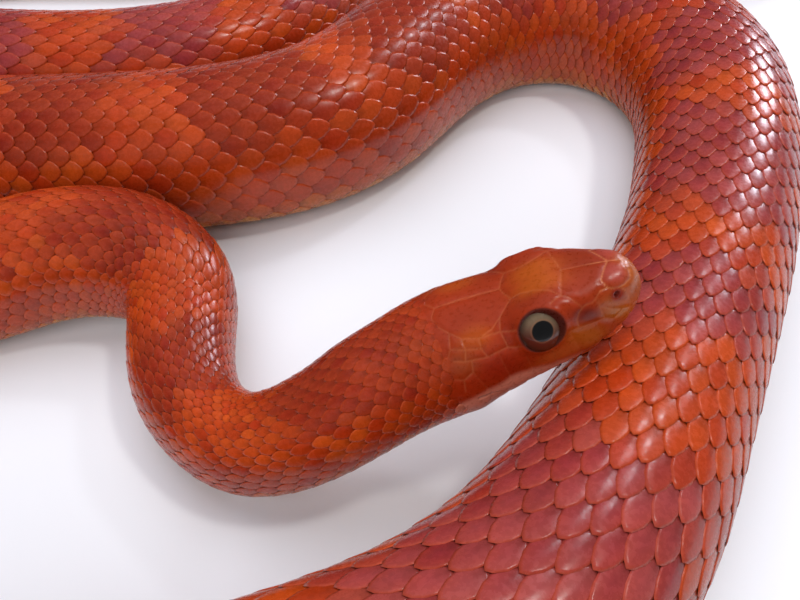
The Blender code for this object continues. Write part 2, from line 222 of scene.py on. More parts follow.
def in_space(at, across, height):
    """Points in space, in millimetres, from places in the sections of the body."""
    right = along_spine(RIGHT, at) * across[..., None]
    return along_spine(MIDDLE, at) + right + along_spine(UP, at) * height[..., None]


def on_skin(at, angle, lift=0.0):
    """Points of the body's surface, raised from it by lift."""
    across, height = outline(at, angle)
    turn = math.radians(0.5)
    ahead = outline(at, angle + turn)
    behind = outline(at, angle - turn)
    outward = unit(np.stack([behind[1] - ahead[1], ahead[0] - behind[0]], -1))
    return in_space(at, across + lift * outward[..., 0], height + lift * outward[..., 1])


def girth_table(at, count=361):
    """For each distance, angles from the top to the throat and how far round each one lies."""
    angles = np.linspace(0, math.pi, count)
    across, height = outline(np.asarray(at)[:, None], angles[None])
    steps = np.hypot(np.diff(across, axis=1), np.diff(height, axis=1))
    girth = np.concatenate([np.zeros((len(at), 1)), np.cumsum(steps, axis=1)], 1)
    return angles, girth, height


def mouth_girth(at):
    """How far round from the crown the mouth line lies."""
    at = np.atleast_1d(np.asarray(at, float))
    angles, girth, height = girth_table(at)
    line = smooth(MOUTH_LINE, at) * rounding(at)
    return np.array([np.interp(-y, -h, g) for y, h, g in zip(line, height, girth)])


def angle_at(at, girth):
    """The angle of a place that lies so far round from the crown."""
    angles, table, _ = girth_table(np.asarray(at, float))
    return np.array([np.interp(g, row, angles) for g, row in zip(girth, table)])


def linear(code):
    """An sRGB hex colour as linear red, green and blue."""
    parts = np.array([int(code[i : i + 2], 16) / 255 for i in (1, 3, 5)])
    return np.where(parts <= 0.04045, parts / 12.92, ((parts + 0.055) / 1.055) ** 2.4)


def ease(low, high, value):
    """Rises from 0 at low to 1 at high without a corner."""
    t = np.clip((value - low) / (high - low), 0, 1)
    return t * t * (3 - 2 * t)


def bell(value, width):
    """1 where the value is 0, falling off on both sides of it."""
    return np.exp(-((value / width) ** 2))


def blend(colours, other, amount):
    """Colours with that amount of the other ones mixed in."""
    amount = np.asarray(amount)[..., None]
    return colours * (1 - amount) + other * amount


# Markings of the body: darker saddles over the back, blotches on the flanks between them, and a
# pale belly. Saddles are rows of (middle, length) along the body in millimetres.
GROUND = linear("#AA3A0E")
NECK_SADDLE = linear("#7C200E")
SADDLE = linear("#883134")
BLOTCH = linear("#8E2A0E")
FLANK = linear("#A2380C")
BELLY_EDGE = linear("#B0702C")
BELLY = linear("#D0A27C")
SADDLES = [
    (31, 13), (57.5, 13), (83, 14), (107, 16), (131, 18), (156, 18), (181, 20), (205, 18), (233, 20),
    (261, 18), (289, 22), (314, 18), (340, 19), (368, 22), (395, 12), (437, 35),
]
SADDLES += [(478 + 33.0 * k, 22) for k in range(9)]
SADDLES += [(774 + 26.0 * k, 17 - 0.6 * k) for k in range(18)]
SADDLE_REACH = math.radians(56)
BLOTCH_MIDDLE = math.radians(78)
# Angles from the top between which one colour passes into the next
FLANK_FROM_TO = np.radians((48, 88))
EDGE_FROM_TO = np.radians((108, 134))
BELLY_FROM_TO = np.radians((131, 140))
# The saddles are a plain red on the neck and turn mauve behind it, between these distances. The mauve
# is partly their own tint and partly a painted sheen of the light behind them.
MAUVE_FROM_TO = (250, 330)


def body_markings(at, angle):
    """Linear colours of the body by distance behind the snout and angle from the top."""
    side = np.abs(angle)
    colours = blend(GROUND, FLANK, 0.7 * ease(*FLANK_FROM_TO, side))
    # The outlines of the markings waver by up to 2.7 mm
    wobble = 1.6 * np.sin(3.1 * angle + 0.31 * at) + 1.1 * np.sin(7.3 * angle - 0.9 * at)
    saddle = np.zeros(at.shape)
    blotch = np.zeros(at.shape)
    for i, (middle, length) in enumerate(SADDLES):
        away = np.abs(at + wobble - middle)
        saddle = np.maximum(saddle, 1 - ease(0.38 * length, 0.62 * length, away))
        if i:
            gap = (middle + SADDLES[i - 1][0]) / 2
            away = np.hypot((at + wobble - gap) / (0.30 * length), (side - BLOTCH_MIDDLE) / 0.30)
            blotch = np.maximum(blotch, 1 - ease(0.7, 1.25, away))
    edge = SADDLE_REACH + 0.16 * np.sin(0.45 * at + 2.0 * np.sign(angle))
    saddle *= 1 - ease(edge - 0.16, edge + 0.22, side)
    mauve = ease(*MAUVE_FROM_TO, at)
    # Saddles, mauve behind the neck, partly with a painted sheen
    colours = blend(colours, blend(NECK_SADDLE, SADDLE, mauve), saddle * (0.82 + 0.1 * mauve))
    colours = blend(colours, BLOTCH, 0.5 * blotch)
    colours = blend(colours, BELLY_EDGE, 0.8 * ease(*EDGE_FROM_TO, side))
    return blend(colours, BELLY, ease(*BELLY_FROM_TO, side))


# Shields of the head. Seams are lines of (distance behind the snout, distance round from the middle
# of the crown) on the right side, in millimetres. The left side has them mirrored in MIDLINE, which
# wanders a little from the middle of the crown.
MIDLINE = [(0, 0.0), (7, 0.0), (13.5, -0.75), (21, -1.3), (27, -1.3)]
CROWN_SEAMS = [
    [(1.9, 0.0), (1.6, 0.8), (1.5, 1.5), (1.65, 2.2), (2.15, 2.95), (2.65, 3.25)],
    [(1.9, 0.0), (2.95, 0.0)],
    [(2.95, 0.0), (3.5, 1.2), (3.95, 2.35), (3.65, 3.18)],
    [(2.65, 3.25), (3.15, 3.35), (3.65, 3.18)],
    [(2.95, 0.0), (6.75, 0.0)],
    [(6.75, 0.0), (7.1, 1.8), (7.45, 3.44)],
    [(7.45, 3.44), (8.35, 2.54), (9.85, 1.77), (11.65, 1.26), (12.75, 1.25)],
    [(12.75, 1.25), (13.3, 0.2), (13.6, -0.75)],
    [(7.45, 3.44), (6.8, 3.75)],
    [(7.45, 3.44), (8.25, 3.82), (8.6, 4.1)],
    [(12.75, 1.25), (13.5, 2.0), (14.35, 2.95)],
    [(13.6, -0.75), (17.0, -1.0), (20.45, -1.3)],
    [(20.45, -1.3), (21.15, -0.12), (20.95, 1.26), (20.05, 2.6), (18.95, 3.73)],
    [(14.35, 2.95), (15.45, 3.87), (17.15, 4.34), (18.95, 3.73)],
]
SIDE_SEAMS = [
    [(2.65, 3.25), (2.1, 3.8), (1.85, 4.6), (1.75, 5.83)],
    [
        (3.65, 3.18), (4.25, 3.44), (4.75, 4.1), (5.15, 4.56), (5.65, 4.63), (6.05, 4.87), (6.45, 4.3),
        (6.8, 3.75),
    ],
    [(4.75, 4.1), (4.65, 5.16), (3.65, 5.73), (2.65, 6.01), (1.75, 5.83)],
    [(4.65, 5.16), (4.55, 6.76), (3.65, 7.16), (2.65, 6.01)],
    [(4.55, 6.76), (5.75, 7.08), (6.95, 7.29)],
    [(6.05, 4.87), (6.5, 5.45), (6.85, 6.22), (6.95, 7.29), (7.85, 7.74)],
    [(14.35, 2.95), (14.75, 4.48), (14.45, 6.24)],
    [(13.05, 5.0), (14.75, 4.48)],
    [(13.15, 6.74), (14.45, 6.24)],
    [(14.75, 4.48), (17.15, 4.34), (17.35, 5.43), (16.95, 6.5)],
    [(14.45, 6.24), (16.95, 6.5), (18.85, 6.21)],
    [(17.35, 5.43), (19.05, 4.97), (18.95, 3.73)],
    [(19.05, 4.97), (19.55, 6.11), (18.85, 6.21), (19.15, 7.45), (20.55, 7.89), (20.95, 9.44)],
    [(19.05, 4.97), (20.65, 4.29), (21.45, 5.28), (19.55, 6.11)],
    [(20.05, 2.6), (20.65, 4.29)],
    [(21.45, 5.28), (22.45, 5.45), (22.65, 6.81), (20.55, 7.89)],
]
# Seams between the upper lip shields: (distance and girth at the top, distance at the mouth)
UPPER_LIP = [
    (1.75, 5.83, 1.85), (3.65, 7.16, 3.45), (5.25, 7.0, 5.2), (7.85, 7.74, 7.45), (10.05, 8.83, 9.95),
    (12.85, 8.36, 12.45), (15.65, 6.4, 14.95), (19.15, 7.45, 17.85),
]
# Those between the lower lip shields begin at these distances and slant back by the slant
LOWER_LIP = (1.9, 3.4, 5.0, 6.8, 8.8, 10.9, 13.2, 15.6, 18.0)
LOWER_LIP_SLANT = 0.4
# Under the mouth a place is a share of the way from the mouth to the middle of the throat
LIP_SHARE = 0.3
CHIN_SEAMS = [
    [(1.6, LIP_SHARE), (6.0, LIP_SHARE), (12.0, LIP_SHARE), (18.6, LIP_SHARE)],
    [(2.0, 1.0), (15.0, 1.0)],
    [(9.4, LIP_SHARE), (9.8, 0.62), (9.2, 1.0)],
    [(9.8, 0.62), (12.5, 0.68), (15.5, 0.8), (15.0, 1.0)],
    [(3.0, 1.0), (3.4, 0.62), (2.8, LIP_SHARE)],
]
# A seam is a fine groove with a pale line in it, the shields' pale edges with a painted highlight on
# them, fainter on the lips and the chin. The shields rise a little from the seams to their middles.
SEAM_WIDTH = 0.085
SEAM_DEPTH = 0.06
SEAM_LINE = 0.075
FAINT_SEAM = 0.3
SEAM_COLOUR = linear("#CC7E50")
SHIELD_RISE = 0.07
# The ridge over each eye: distance behind the snout, girth, half length, half width and height
BROW = (11.0, 4.1, 3.3, 1.4, 0.38)
# The mouth is a groove with a dark line of painted shade along it, and the jaw lies a little inside
# the upper lips
MOUTH_WIDTH = 0.16
MOUTH_DEPTH = 0.42
MOUTH_SHADE = 0.14
MOUTH_SHADE_COLOUR = linear("#4A1510")
JAW_INSET = 0.22


def dense(points, spacing=0.07):
    """Points close together on straight lines between the given ones."""
    points = np.array(points, float)
    found = [points[:1]]
    for start, end in zip(points, points[1:]):
        count = max(int(np.linalg.norm(end - start) / spacing), 1)
        found.append(start + (end - start) * (np.arange(1, count + 1) / count)[:, None])
    return np.concatenate(found)


def below_mouth(at, share):
    """The girth of a place that share of the way from the mouth to the middle of the throat."""
    lip = mouth_girth(at)
    throat = girth_table(np.asarray(at, float))[1][:, -1]
    return lip + np.asarray(share) * (throat - lip)


def seam_points():
    """Points in space along the seams, the fainter ones of lips and chin, and the mouth."""
    seams = np.concatenate([dense(line) for line in CROWN_SEAMS + SIDE_SEAMS])
    lines = []
    for top_at, top_girth, mouth_at in UPPER_LIP:
        lines.append(dense([(top_at, top_girth), (mouth_at, mouth_girth(mouth_at)[0])]))
    for at in LOWER_LIP:
        low = below_mouth([at + LOWER_LIP_SLANT], LIP_SHARE)[0]
        lines.append(dense([(at, mouth_girth(at)[0]), (at + LOWER_LIP_SLANT, low)]))
    for line in CHIN_SEAMS:
        at, share = dense(line, 0.04).T
        lines.append(np.stack([at, below_mouth(at, share)], 1))
    mouth_at = np.arange(0.02, MOUTH_END, 0.06)
    mouth = np.stack([mouth_at, mouth_girth(mouth_at)], 1)
    found = []
    for at, girth in (seams.T, np.concatenate(lines).T, mouth.T):
        drift = 2 * smooth(MIDLINE, at) * (1 - ease(3.0, 8.0, girth))
        left = girth - drift
        right = np.sign(girth) * angle_at(at, np.abs(girth))
        found.append(np.concatenate([on_skin(at, right), on_skin(at, -angle_at(at, left))]))
    return found


def distance_to(points, targets, reach=3.0):
    """How far each point is from the nearest target, at most reach."""
    tree = KDTree(len(targets))
    for i, target in enumerate(targets):
        tree.insert(target, i)
    tree.balance()
    return np.array([min(tree.find(point)[2], reach) for point in points])


# The eyes and nostrils, placed as in the solids
EYE_BEHIND_SNOUT = 10.3
EYE_RADIUS = 2.7
EYE_BULGE = 0.2
EYE_ANGLE = math.radians(54.0)
EYE_LOOK_ANGLE = math.radians(59.0)
EYE_FORWARD = 0.25
EYE_OPENING = 2.36
# The rim of skin round the eye: how far outside the opening, its width and its height. Inside the
# opening the skin lies below the eyeball's surface.
EYE_RIM = (0.22, 0.26, 0.14)
EYE_RIM_SLOPE = 0.28
EYE_SEAT = 0.18
EYE_SHADOW = linear("#2C1310")
NOSTRIL_BEHIND_SNOUT = 3.0
NOSTRIL_ANGLE = math.radians(53.0)
NOSTRIL_RADIUS = 0.42
NOSTRIL_DEPTH = 0.55
NOSTRIL_EDGE = linear("#7E1E0E")
# The middle of the nostril's pit is darkened with painted shade
NOSTRIL_HOLE_SHADE = linear("#58120A")


def eye_place(side):
    """The middle of the eyeball and the direction that it looks, for side 1 right and -1 left."""
    at = np.array([EYE_BEHIND_SNOUT])
    across, height = outline(at, np.array([EYE_ANGLE]))
    surface = in_space(at, side * across, height)[0]
    back, right, up = [along_spine(table, EYE_BEHIND_SNOUT) for table in (BACK, RIGHT, UP)]
    look = side * right * math.sin(EYE_LOOK_ANGLE) + up * math.cos(EYE_LOOK_ANGLE)
    out = look - EYE_FORWARD * back
    out /= np.linalg.norm(out)
    return surface - out * (EYE_RADIUS - EYE_BULGE), out


# Patches of colour on the head: distance behind the snout, distance round from the crown, half
# length, half width, colour and strength. They fade into the shields round them.
HEAD_GROUND = linear("#8E2907")
HEAD_PATCHES = [
    (1.75, 5.4, 2.2, 2.4, "#A44A08", 0.85),
    (3.3, 6.3, 1.4, 0.8, "#98580E", 0.55),
    (0.9, 0.6, 1.3, 3.0, "#A65616", 0.7),
    # The pinkish internasal patch is partly their own colour and partly a painted sheen
    (2.75, 1.7, 0.9, 1.1, "#A04038", 0.8),
    (2.95, 4.15, 0.7, 0.7, "#6E1E0C", 0.75),
    (4.9, 1.6, 1.7, 2.0, "#86280A", 0.7),
    (3.75, 5.1, 0.8, 0.8, "#9C5228", 0.6),
    (6.05, 5.8, 1.1, 0.9, "#5E1405", 0.88),
    (6.55, 8.8, 1.8, 1.6, "#9E5012", 0.8),
    (9.3, 10.3, 2.4, 1.0, "#A0481A", 0.7),
    (9.4, 0.9, 2.6, 1.6, "#A84C0C", 0.8),
    (9.6, 3.2, 2.5, 0.8, "#8C2A0E", 0.7),
    (15.9, 8.4, 3.0, 1.7, "#7E1A06", 0.85),
    (20.7, 9.0, 2.4, 1.6, "#8A2208", 0.7),
    (16.4, 2.7, 2.2, 1.6, "#8C2A08", 0.6),
    (17.6, 4.1, 1.8, 1.2, "#A04206", 0.75),
    (13.9, 4.7, 0.9, 1.6, "#7A2009", 0.7),
    (19.9, 6.1, 1.6, 1.4, "#843810", 0.55),
]
# How far round from the crown the pale edge of the jaw begins, by distance
PALE_EDGE = [
    (0, 6.5), (3.5, 9.0), (7.8, 11.6), (9.9, 11.6), (12.0, 11.0), (14.3, 9.9), (16.9, 10.4),
    (20.1, 10.8), (23.5, 11.2), (25.5, 12.0),
]
JAW = linear("#C07660")
THROAT = linear("#DDB69E")


def head_markings(at, girth, share):
    """Linear colours of the head by distance, girth from the crown and share below the mouth."""
    colours = HEAD_GROUND
    for patch_at, patch_girth, long, wide, code, strength in HEAD_PATCHES:
        away = ((at - patch_at) / long) ** 2 + ((girth - patch_girth) / wide) ** 2
        colours = blend(colours, linear(code), strength * np.exp(-(away**1.5) * 0.7))
    edge = smooth(PALE_EDGE, at)
    colours = blend(colours, JAW, 0.9 * ease(edge - 0.5, edge + 0.6, girth))
    return blend(colours, THROAT, ease(0.3, 0.7, share))


# The sides of the skin round the head and round the body, and the rings that round off the snout
HEAD_SIDES = 320
BODY_SIDES = 80
SNOUT_RINGS = 26
HEAD_END = 26.5
NECK_END = 130.0
# How far apart the rings of the skin lie on the head, the neck and the rest of the body
HEAD_STEP = 0.125
NECK_STEP = 1.6
BODY_STEP = 4.4
# Where the skin goes down under the scales and the shields end
COAT_START = (20.0, 23.0)
# Where the paint of the head gives way to that of the body
HEAD_PAINT_END = (23.5, 26.5)
# The skin lies under the scales by this share of a scale's length
SKIN_DEPTH = 0.06
BETWEEN_SCALES = linear("#73505C")
BETWEEN_NECK_SCALES = linear("#641E18")
# The scales stop just before the tip of the tail, so the skin takes their colours between these
# distances from it
BARE_TIP = (6, 3)
# Rows of (distance behind the snout, scale length as a share of the half width)
SCALE_SHARE = [
    (20, 0.22), (27, 0.235), (34, 0.27), (50, 0.33), (58, 0.325), (70, 0.285), (90, 0.27), (150, 0.27),
    (280, 0.28), (340, 0.3), (380, 0.335), (420, 0.37), (460, 0.385), (1070, 0.385), (1072, 0.52),
    (1151, 0.52), (1153, 0.62), (1240, 0.62),
]


def scale_length(at):
    """The distance from one scale to the next along a row."""
    return smooth(SCALE_SHARE, at) * half_width(at)


def skin_rings():
    """Distances and side counts of the skin's rings, closer together on the head."""
    turn = np.linspace(0.04, math.pi / 2, SNOUT_RINGS)
    snout = SNOUT_ROUNDING * (1 - np.cos(turn))
    head = np.arange(snout[-1] + HEAD_STEP, HEAD_END, HEAD_STEP)
    neck = np.arange(HEAD_END + NECK_STEP, NECK_END, NECK_STEP)
    body = np.arange(NECK_END, LENGTH, BODY_STEP)
    rings = [(at, HEAD_SIDES) for at in (*snout, *head)]
    rings += [(HEAD_END + 0.4, HEAD_SIDES // 2), (HEAD_END + 1.0, BODY_SIDES)]
    return rings + [(at, BODY_SIDES) for at in (*neck, *body, LENGTH)]


def ring_faces(first, sides, second, next_sides, make):
    """Adds the faces between two rings, where the second has as many or half as many sides."""
    for k in range(next_sides):
        b, c = second + k, second + (k + 1) % next_sides
        if sides == next_sides:
            make((first + k, b, c, first + (k + 1) % sides))
            continue
        left, mid, right = [first + (2 * k + i) % sides for i in range(3)]
        make((left, b, mid))
        make((mid, b, c))
        make((mid, c, right))


def in_scene(name, data):
    """An object with this data, put into the scene."""
    thing = bpy.data.objects.new(name, data)
    bpy.context.scene.collection.objects.link(thing)
    return thing


def make_mesh(name, points, faces, colours, corner_map=None):
    """A mesh object from points in millimetres, with its markings, and its bake map if any."""
    mesh = bpy.data.meshes.new(name)
    mesh.from_pydata((np.asarray(points) * MM).tolist(), [], faces)
    mesh.update()
    marking = mesh.color_attributes.new("Marking", "FLOAT_COLOR", "POINT")
    rgba = np.concatenate([colours, np.ones((len(colours), 1))], 1)
    marking.data.foreach_set("color", rgba.astype(np.float32).ravel())
    if corner_map is not None:
        layer = mesh.uv_layers.new(name="OFBake")
        layer.data.foreach_set("uv", np.asarray(corner_map, np.float32).ravel())
    mesh.shade_smooth()
    return in_scene(name, mesh)


UNROLLED_STRIPS = 10
STRIP_RUN = 0.98


def unwrap(at, turn):
    """A place on the unrolled skin: the head fills the upper half, ten lengths of the body the rest.

    The turn runs from 0 at the left of the throat, over the crown, to 1 at its right.
    """
    at = np.asarray(at, float)
    on_head = at < HEAD_END
    run = np.clip((at - HEAD_END) / (LENGTH - HEAD_END), 0, 0.9999) * UNROLLED_STRIPS
    strip = np.floor(run)
    u = np.where(on_head, at / HEAD_END, run - strip) * STRIP_RUN + 0.01
    v = np.where(on_head, 0.5 + turn * 0.49, (strip + 0.03 + 0.94 * turn) / (2 * UNROLLED_STRIPS))
    return np.stack([u, v], -1)


def unwrap_faces(at, turn, faces, tips):
    """The bake map, worked out face by face so that no face crosses an edge of the unrolled skin."""
    corner = np.concatenate([np.array(face) for face in faces])
    count = np.array([len(face) for face in faces])
    owner = np.repeat(np.arange(len(faces)), count)
    begin = np.cumsum(count) - count
    corner_turn = turn[corner]
    high = np.maximum.reduceat(corner_turn, begin)[owner]
    corner_turn = np.where((high > 0.75) & (corner_turn < 0.25), corner_turn + 1, corner_turn)
    corner_turn = np.where(corner >= tips, high, corner_turn)
    corner_at = at[corner]
    lowest = np.minimum.reduceat(corner_at, begin)[owner]
    place = unwrap(lowest, corner_turn)
    body_run = STRIP_RUN * UNROLLED_STRIPS / (LENGTH - HEAD_END)
    place[:, 0] += (corner_at - lowest) * np.where(lowest < HEAD_END, STRIP_RUN / HEAD_END, body_run)
    return place


def make_skin():
    rings = skin_rings()
    at = np.concatenate([np.full(sides, at) for at, sides in rings])
    turn = np.concatenate([np.arange(sides) / sides for _, sides in rings])
    angle = (turn - 0.5) * 2 * math.pi
    on_head = at < HEAD_END
    between = blend(BETWEEN_NECK_SCALES, BETWEEN_SCALES, ease(90, 200, at))
    covered = 1 - ease(LENGTH - BARE_TIP[0], LENGTH - BARE_TIP[1], at)
    colours = blend(body_markings(at, angle), between, 0.75 * covered)
    base = on_skin(at, angle)
    depth = SKIN_DEPTH * scale_length(at) * ease(*COAT_START, at)
    points = on_skin(at, angle, -depth)

    # Where each point of the head lies round it, and how far it is from the seams and the mouth
    head_at = at[on_head]
    rows = np.unique(head_at)
    angles, girths, _ = girth_table(rows)
    lips = mouth_girth(rows)
    index = np.searchsorted(rows, head_at)
    spot = np.abs(angle[on_head]) / math.pi * (len(angles) - 1)
    low = np.minimum(spot.astype(int), len(angles) - 2)
    girth = girths[index, low] + (spot - low) * (girths[index, low + 1] - girths[index, low])
    lip = lips[index]
    share = (girth - lip) / (girths[index, -1] - lip)
    seams, faint, mouth = seam_points()
    head = base[on_head]
    from_strong = distance_to(head, seams)
    from_faint = distance_to(head, faint)
    from_seam = np.minimum(from_strong, from_faint)
    from_mouth = distance_to(head, mouth)

    # Shape and paint the shields, whose pale seam lines carry a painted highlight, stronger on the snout
    raised = SHIELD_RISE * ease(0.0, 0.7, from_seam) - SEAM_DEPTH * bell(from_seam, SEAM_WIDTH)
    plates = 1 - ease(*COAT_START, head_at)
    raised *= plates
    brow = ((head_at - BROW[0]) / BROW[2]) ** 2 + ((girth - BROW[1]) / BROW[3]) ** 2
    raised += BROW[4] * np.exp(-brow)
    raised -= MOUTH_DEPTH * bell(from_mouth, MOUTH_WIDTH)
    raised -= JAW_INSET * ease(0.0, 0.04, share) * (1 - ease(16.0, 20.0, head_at))
    paint = head_markings(head_at, girth, share)
    line = bell(from_strong, SEAM_LINE) + FAINT_SEAM * bell(from_faint, SEAM_LINE)
    # The seams' painted highlight is strongest round the front of the snout
    seam_line_and_highlight = 0.2 + 0.4 * (1 - ease(3.8, 5.0, head_at)) * (1 - ease(3.3, 4.0, girth))
    paint = blend(paint, SEAM_COLOUR, seam_line_and_highlight * plates * np.minimum(line, 1))
    # Painted shade along the mouth's groove
    paint = blend(paint, MOUTH_SHADE_COLOUR, 0.8 * bell(from_mouth, MOUTH_SHADE))

    # Outward directions of the head's grid, which also close round the snout
    grid = base[: len(rows) * HEAD_SIDES].reshape(len(rows), HEAD_SIDES, 3)
    along = np.gradient(grid, axis=0)
    round_it = np.roll(grid, -1, axis=1) - np.roll(grid, 1, axis=1)
    outward = unit(np.cross(round_it, along))
    from_middle = grid - along_spine(MIDDLE, rows + 3)[:, None]
    outward *= np.sign(np.sum(outward * from_middle, axis=-1))[..., None]
    outward = outward.reshape(-1, 3)
    points[on_head] += raised[:, None] * outward

    # The seat of each eye with its rim and painted shadow, and each nostril with painted shade in its
    # pit
    for side in (1, -1):
        centre, out = eye_place(side)
        away = points[on_head] - centre
        upright = away @ out
        aside = np.linalg.norm(away - upright[:, None] * out, axis=1)
        facing = upright > 0
        rim = EYE_RIM[2] * bell(aside - EYE_OPENING - EYE_RIM[0], EYE_RIM[1]) * facing
        shaped = points[on_head] + rim[:, None] * out
        inside = (1 - ease(EYE_OPENING - EYE_RIM_SLOPE, EYE_OPENING, aside)) * facing
        seat = centre + unit(away) * (EYE_RADIUS - EYE_SEAT)
        points[on_head] = shaped * (1 - inside[:, None]) + seat * inside[:, None]
        shadow = (1 - ease(EYE_OPENING - 0.05, EYE_OPENING + 0.25, aside)) * facing
        paint = blend(paint, EYE_SHADOW, 0.9 * shadow)

        hole_at = np.array([NOSTRIL_BEHIND_SNOUT])
        hole = on_skin(hole_at, np.array([side * NOSTRIL_ANGLE]))[0]
        near = np.linalg.norm(head - hole, axis=1) / NOSTRIL_RADIUS
        points[on_head] -= (NOSTRIL_DEPTH * (1 - ease(0.35, 1.0, near)))[:, None] * outward
        paint = blend(paint, NOSTRIL_EDGE, 0.75 * (1 - ease(1.3, 2.3, near)))
        # Painted shade in the nostril's pit
        paint = blend(paint, NOSTRIL_HOLE_SHADE, 0.85 * (1 - ease(0.7, 1.2, near)))

    colours[on_head] = blend(colours[on_head], paint, 1 - 0.75 * ease(*HEAD_PAINT_END, head_at))

    # Close the mesh: a fan at the snout, one at the tail, and the rings between
    starts = np.concatenate([[0], np.cumsum([sides for _, sides in rings])])
    faces = []
    for (_, sides), (_, next_sides), first, second in zip(rings, rings[1:], starts, starts[1:]):
        ring_faces(int(first), sides, int(second), next_sides, faces.append)
    tips = len(points)
    snout = on_skin(np.array([0.0]), np.array([0.0]))
    tail = along_spine(MIDDLE, np.array([LENGTH])) + 0.4 * along_spine(BACK, np.array([LENGTH]))
    points = np.concatenate([points, snout, tail])
    colours = np.concatenate([colours, colours[:1], colours[-1:]])
    last = int(starts[-2])
    faces += [(tips, k, (k + 1) % HEAD_SIDES) for k in range(HEAD_SIDES)]
    faces += [(last + (k + 1) % BODY_SIDES, last + k, tips + 1) for k in range(BODY_SIDES)]
    at = np.concatenate([at, [0.0, LENGTH]])
    turn = np.concatenate([turn, [0.5, 0.5]])
    return make_mesh("skin", points, faces, colours, unwrap_faces(at, turn, faces, tips))


# Settings of the nodes that reckon with numbers and directions
PLUS, LESS, TIMES, OVER, SCALED = [
    {"operation": name} for name in ("ADD", "SUBTRACT", "MULTIPLY", "DIVIDE", "SCALE")
]


def add(tree, kind, settings=None, *first, **named):
    """Adds a node to a tree with its settings, and with what goes into its first inputs and others.

    That is a value, a socket, or a node, which stands for its first output. An input whose name others
    share is given by its number, as in _2.
    """
    node = tree.nodes.new(kind)
    for name, value in (settings or {}).items():
        setattr(node, name, value)
    given = list(enumerate(first))
    for name, value in named.items():
        label = name.replace("_", " ")
        given.append((label if label in node.inputs else int(name[1:]), value))
    for key, value in given:
        socket = node.inputs[key]
        if isinstance(value, bpy.types.Node):
            value = value.outputs[0]
        if isinstance(value, bpy.types.NodeSocket):
            tree.links.new(value, socket)
        else:
            socket.default_value = value
    return node


def new_material(name):
    """A material and its empty tree."""
    material = bpy.data.materials.new(name)
    material.use_nodes = True
    material.node_tree.nodes.clear()
    return material, material.node_tree


# Millimetres across the broad mottling of the pigment
BROAD_MOTTLE = 6


def keratin(name, roughness, grain, relief):
    """Keratin of shields and scales: a satin surface over painted markings.

    The pigment under its clear outer layer is mottled, finely by grain millimetres and broadly by
    BROAD_MOTTLE. The fine mottling stands up by relief millimetres and makes the gloss uneven.
    """
    material, tree = new_material(name)
    marking = add(tree, "ShaderNodeAttribute", {"attribute_name": "Marking"})
    place = add(tree, "ShaderNodeTexCoord").outputs["Object"]
    fine, broad = [
        add(tree, "ShaderNodeTexNoise", Vector=place, Scale=1 / (size * MM), Detail=detail)
        for size, detail in ((grain, 3.0), (BROAD_MOTTLE, 2.0))
    ]
    fine_shade, broad_shade, rough = [
        add(tree, "ShaderNodeMapRange", None, noise, 0.3, 0.7, low, high)
        for noise, low, high in (
            (fine, 0.9, 1.09), (broad, 0.9, 1.1), (fine, roughness - 0.06, roughness + 0.08),
        )
    ]
    shade = add(tree, "ShaderNodeMath", TIMES, fine_shade, broad_shade)
    colour = add(tree, "ShaderNodeVectorMath", SCALED, marking, Scale=shade)
    bump = add(tree, "ShaderNodeBump", Strength=0.35, Distance=relief * MM, Height=fine)
    shader = add(
        tree, "ShaderNodeBsdfPrincipled", Base_Color=colour, Roughness=rough, Normal=bump, IOR=1.42
    )
    add(tree, "ShaderNodeOutputMaterial", Surface=shader)
    return material


FLESH = [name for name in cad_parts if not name.startswith("eye_")]
skin = make_skin()
skin.data.materials.append(keratin("head_shield_keratin", 0.3, 0.5, 0.02))
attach(skin, "root")
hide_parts(*FLESH)

# The scales of the back and flanks: thin plates of keratin, longer than wide, in 25 slanting rows and
# fewer on the tail. Each is rooted in the skin at its front end, and its free rear end lies over the
# scales behind it. A node tree copies one plate to its places and bends the copies onto the body.
DORSAL_EDGE = math.radians(137)
# The rows are laid out round the body at this distance. The width of a row is the first value over
# the backbone and grows by the second towards the flank, with the third as its power.
ROWS_AT = 400.0
ROW_WIDTH = (0.76, 0.52, 1.5)
# A scale's own row width is taken from so far on each side of it, in rows
ROW_REACH = 0.4
# One scale, in scale lengths and row widths. Its outline is a rounded lozenge and its top a low dome.
# The inner ring, and the rim of the front half, have INNER_RIM of the rim's colour.
SCALE_REACH = (0.56, 0.59)
SCALE_HALF_WIDTH = 0.77
SCALE_ROUND = 1.58
SCALE_CORNERS = 12
FRONT_HEIGHT = -0.04
TIP_HEIGHT = 0.004
SCALE_DOME = 0.02
SCALE_THICKNESS = 0.008
INNER_RING = 0.8
INNER_RIM = 0.35
# The scales of the neck are slimmer. They narrow between the first two distances and widen again
# between the second two.
SLENDER_NECK = 0.84
SLENDER_START = (28.0, 42.0)
SLENDER_END = (60.0, 130.0)
# The paint of the scales passes from the head's to the body's between these distances. The girths are
# how far round from the crown the mouth line and the middle of the throat lie there.
HEAD_PAINT_FROM_TO = (21.0, 32.0)
MOUTH_GIRTH = 12.5
THROAT_GIRTH = 19.5
# Rows, first distance, last distance, and the name and last distance of each piece of the coat
COAT_PARTS = [("neck", 200.0), ("fore", 430.0), ("middle", 740.0), ("rear", 930.0), ("hind", 1071.0)]
COATS = [
    (25, 19.0, 1071.0, COAT_PARTS),
    (17, 1071.0, 1152.0, [("tail", 1152.0)]),
    (11, 1152.0, 1237.0, [("tail_tip", 1237.0)]),
]
# Where the scales begin behind the shields, by the angle from the top in degrees
COAT_EDGE = [
    (0, 21.6), (25, 21.3), (40, 20.7), (60, 21.8), (80, 22.9), (100, 22.2), (120, 21.4), (180, 21.0),
]
RIM_COLOUR = linear("#B04420")
RIM_STRENGTH = 0.55
GUIDE_AT = (16.0, 1241.0)
GUIDE_STEP = 1.0
# The size of one plate's patch of the unrolled skin, for a scale length and a row width
PLATE_PATCH = (0.0026, 0.0014, 0.0)


